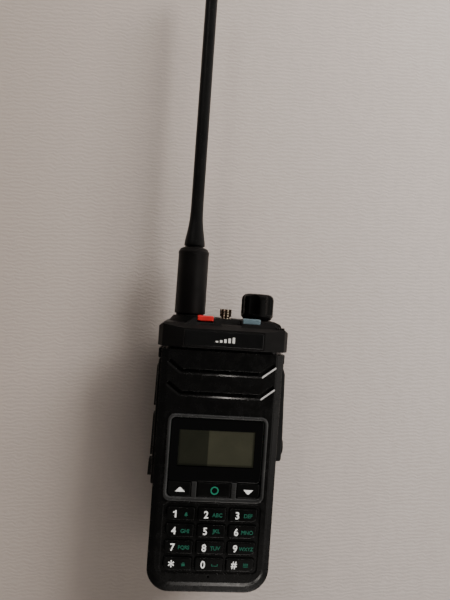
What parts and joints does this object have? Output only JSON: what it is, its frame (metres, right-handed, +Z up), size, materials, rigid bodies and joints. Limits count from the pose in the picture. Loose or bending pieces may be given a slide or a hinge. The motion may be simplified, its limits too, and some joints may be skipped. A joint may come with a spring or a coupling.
{
  "type": "two way radio",
  "caption": "Handheld two-way radio with display, telephone keypad, side talk button, whip antenna, rotary top controls, slide-off battery and sprung belt clip.",
  "frame": {"origin": "centre of the flat bottom, halfway between the front face and the back of the battery", "axes": "+Z up the body towards the antenna tip, -Y out of the keypad face, +Y out of the battery, +X to the right as the user faces the keypad"},
  "size_m": [0.0667, 0.0438, 0.318],
  "materials": {
    "casing_plastic": "fine-textured semi-gloss black",
    "cap_plastic": "matte charcoal",
    "key_plastic": "smooth black with printed digits",
    "bezel_plastic": "satin dark grey",
    "gloss_black": "polished black",
    "rubber": "matte black rubber",
    "lcd_glass": "olive-grey display glass",
    "lens_clear": "clear lens with a black printed border",
    "window_plastic": "translucent blue-grey",
    "alarm_plastic": "red",
    "die_cast": "painted die-cast alloy",
    "board": "green laminate",
    "tinned_steel": "tinned sheet",
    "steel": "bright steel",
    "spring_steel": "spring steel",
    "brass": "plain brass",
    "gold": "gold-plated contacts",
    "cell_wrap": "shrink-wrapped cells",
    "speaker_cone": "black cone and steel basket"
  },
  "bodies": {
    "radio": {"front_housing": "casing_plastic", "display_bezel": "bezel_plastic", "display_lens": "lens_clear", "lcd_module": "lcd_glass", "key_mat": "rubber", "control_board": "board", "main_board": "board", "shield_cans": "tinned_steel", "speaker": "speaker_cone", "microphone": "steel", "side_key_frame": "casing_plastic", "accessory_jacks": "gloss_black", "chassis": "die_cast", "chassis_seal": "rubber", "case_screws": "steel", "battery_terminals": "gold", "top_cap": "cap_plastic", "name_plate": "gloss_black", "status_window": "window_plastic", "volume_control": "steel", "channel_encoder": "steel", "control_nuts": "brass", "antenna_connector": "gold", "clip_bracket": "casing_plastic", "clip_pin": "steel", "clip_spring": "spring_steel"},
    "key_1_cap": {"key_1": "key_plastic"},
    "key_2_cap": {"key_2": "key_plastic"},
    "key_3_cap": {"key_3": "key_plastic"},
    "key_4_cap": {"key_4": "key_plastic"},
    "key_5_cap": {"key_5": "key_plastic"},
    "key_6_cap": {"key_6": "key_plastic"},
    "key_7_cap": {"key_7": "key_plastic"},
    "key_8_cap": {"key_8": "key_plastic"},
    "key_9_cap": {"key_9": "key_plastic"},
    "key_star_cap": {"key_star": "key_plastic"},
    "key_0_cap": {"key_0": "key_plastic"},
    "key_hash_cap": {"key_hash": "key_plastic"},
    "key_up_cap": {"key_up": "key_plastic"},
    "key_menu_cap": {"key_menu": "key_plastic"},
    "key_down_cap": {"key_down": "key_plastic"},
    "ptt": {"ptt_button": "rubber"},
    "side_upper": {"side_key_upper": "rubber"},
    "side_lower": {"side_key_lower": "rubber"},
    "alarm": {"alarm_button": "alarm_plastic"},
    "volume": {"volume_knob": "cap_plastic", "volume_shaft": "steel"},
    "channel": {"channel_shaft": "brass"},
    "antenna_seal": {"antenna_gasket": "rubber"},
    "antenna": {"antenna_plug": "brass", "antenna_sleeve": "cap_plastic", "antenna_whip": "rubber"},
    "battery": {"battery_case": "casing_plastic", "battery_lid": "casing_plastic", "battery_cells": "cell_wrap", "charge_contacts": "gold"},
    "latch": {"battery_latch": "cap_plastic"},
    "clip": {"belt_clip": "casing_plastic"},
    "cover": {"accessory_cover": "rubber"},
    "cover_fastener": {"cover_screw": "cap_plastic"}
  },
  "joints": [
    {"name": "key_1_press", "type": "slide", "parent": "radio", "child": "key_1_cap", "axis": [0, 1, 0], "range_m": [0, 0.0006], "stiffness_N_per_m": 1500},
    {"name": "key_2_press", "type": "slide", "parent": "radio", "child": "key_2_cap", "axis": [0, 1, 0], "range_m": [0, 0.0006], "stiffness_N_per_m": 1500},
    {"name": "key_3_press", "type": "slide", "parent": "radio", "child": "key_3_cap", "axis": [0, 1, 0], "range_m": [0, 0.0006], "stiffness_N_per_m": 1500},
    {"name": "key_4_press", "type": "slide", "parent": "radio", "child": "key_4_cap", "axis": [0, 1, 0], "range_m": [0, 0.0006], "stiffness_N_per_m": 1500},
    {"name": "key_5_press", "type": "slide", "parent": "radio", "child": "key_5_cap", "axis": [0, 1, 0], "range_m": [0, 0.0006], "stiffness_N_per_m": 1500},
    {"name": "key_6_press", "type": "slide", "parent": "radio", "child": "key_6_cap", "axis": [0, 1, 0], "range_m": [0, 0.0006], "stiffness_N_per_m": 1500},
    {"name": "key_7_press", "type": "slide", "parent": "radio", "child": "key_7_cap", "axis": [0, 1, 0], "range_m": [0, 0.0006], "stiffness_N_per_m": 1500},
    {"name": "key_8_press", "type": "slide", "parent": "radio", "child": "key_8_cap", "axis": [0, 1, 0], "range_m": [0, 0.0006], "stiffness_N_per_m": 1500},
    {"name": "key_9_press", "type": "slide", "parent": "radio", "child": "key_9_cap", "axis": [0, 1, 0], "range_m": [0, 0.0006], "stiffness_N_per_m": 1500},
    {"name": "key_star_press", "type": "slide", "parent": "radio", "child": "key_star_cap", "axis": [0, 1, 0], "range_m": [0, 0.0006], "stiffness_N_per_m": 1500},
    {"name": "key_0_press", "type": "slide", "parent": "radio", "child": "key_0_cap", "axis": [0, 1, 0], "range_m": [0, 0.0006], "stiffness_N_per_m": 1500},
    {"name": "key_hash_press", "type": "slide", "parent": "radio", "child": "key_hash_cap", "axis": [0, 1, 0], "range_m": [0, 0.0006], "stiffness_N_per_m": 1500},
    {"name": "key_up_press", "type": "slide", "parent": "radio", "child": "key_up_cap", "axis": [0, 1, 0], "range_m": [0, 0.0006], "stiffness_N_per_m": 1500},
    {"name": "key_menu_press", "type": "slide", "parent": "radio", "child": "key_menu_cap", "axis": [0, 1, 0], "range_m": [0, 0.0006], "stiffness_N_per_m": 1500},
    {"name": "key_down_press", "type": "slide", "parent": "radio", "child": "key_down_cap", "axis": [0, 1, 0], "range_m": [0, 0.0006], "stiffness_N_per_m": 1500},
    {"name": "ptt_button_press", "type": "slide", "parent": "radio", "child": "ptt", "axis": [1, 0, 0], "range_m": [0, 0.0008], "stiffness_N_per_m": 1500},
    {"name": "side_key_upper_press", "type": "slide", "parent": "radio", "child": "side_upper", "axis": [1, 0, 0], "range_m": [0, 0.0008], "stiffness_N_per_m": 1500},
    {"name": "side_key_lower_press", "type": "slide", "parent": "radio", "child": "side_lower", "axis": [1, 0, 0], "range_m": [0, 0.0008], "stiffness_N_per_m": 1500},
    {"name": "alarm_press", "type": "slide", "parent": "radio", "child": "alarm", "axis": [0, 0, -1], "range_m": [0, 0.0005], "stiffness_N_per_m": 1500},
    {"name": "volume_turn", "type": "hinge", "parent": "radio", "child": "volume", "pos_m": [0.0178, 0.002, 0.138], "axis": [0, 0, -1], "range_deg": [0, 270]},
    {"name": "channel_turn", "type": "hinge", "parent": "radio", "child": "channel", "pos_m": [0.0014, 0.002, 0.134], "axis": [0, 0, -1], "continuous": true},
    {"name": "antenna_lift", "type": "slide", "parent": "radio", "child": "antenna_seal", "axis": [0, 0, 1], "range_m": [0, 0.00635]},
    {"name": "antenna_unscrew", "type": "hinge", "parent": "antenna_seal", "child": "antenna", "pos_m": [-0.0172, 0.002, 0.15], "axis": [0, 0, 1], "range_deg": [0, 3240]},
    {"name": "battery_slide", "type": "slide", "parent": "radio", "child": "battery", "axis": [0, 0, -1], "range_m": [0, 0.106]},
    {"name": "battery_latch_press", "type": "slide", "parent": "radio", "child": "latch", "axis": [0, -1, 0], "range_m": [0, 0.0015], "stiffness_N_per_m": 900},
    {"name": "belt_clip_hinge", "type": "hinge", "parent": "radio", "child": "clip", "pos_m": [0, 0.02, 0.1112], "axis": [1, 0, 0], "range_deg": [0, 18], "stiffness_Nm_per_rad": 0.5, "springref_deg": -6},
    {"name": "accessory_cover_hinge", "type": "hinge", "parent": "radio", "child": "cover", "pos_m": [0.03075, -0.004, 0.1093], "axis": [0, -1, 0], "range_deg": [0, 120]},
    {"name": "cover_screw_turn", "type": "hinge", "parent": "cover", "child": "cover_fastener", "pos_m": [0.031, -0.004, 0.068], "axis": [1, 0, 0], "range_deg": [0, 90]}
  ],
  "couplings": [
    {"joint": "antenna_unscrew", "follows": "antenna_lift", "rad_per_m": 8904.7}
  ]
}
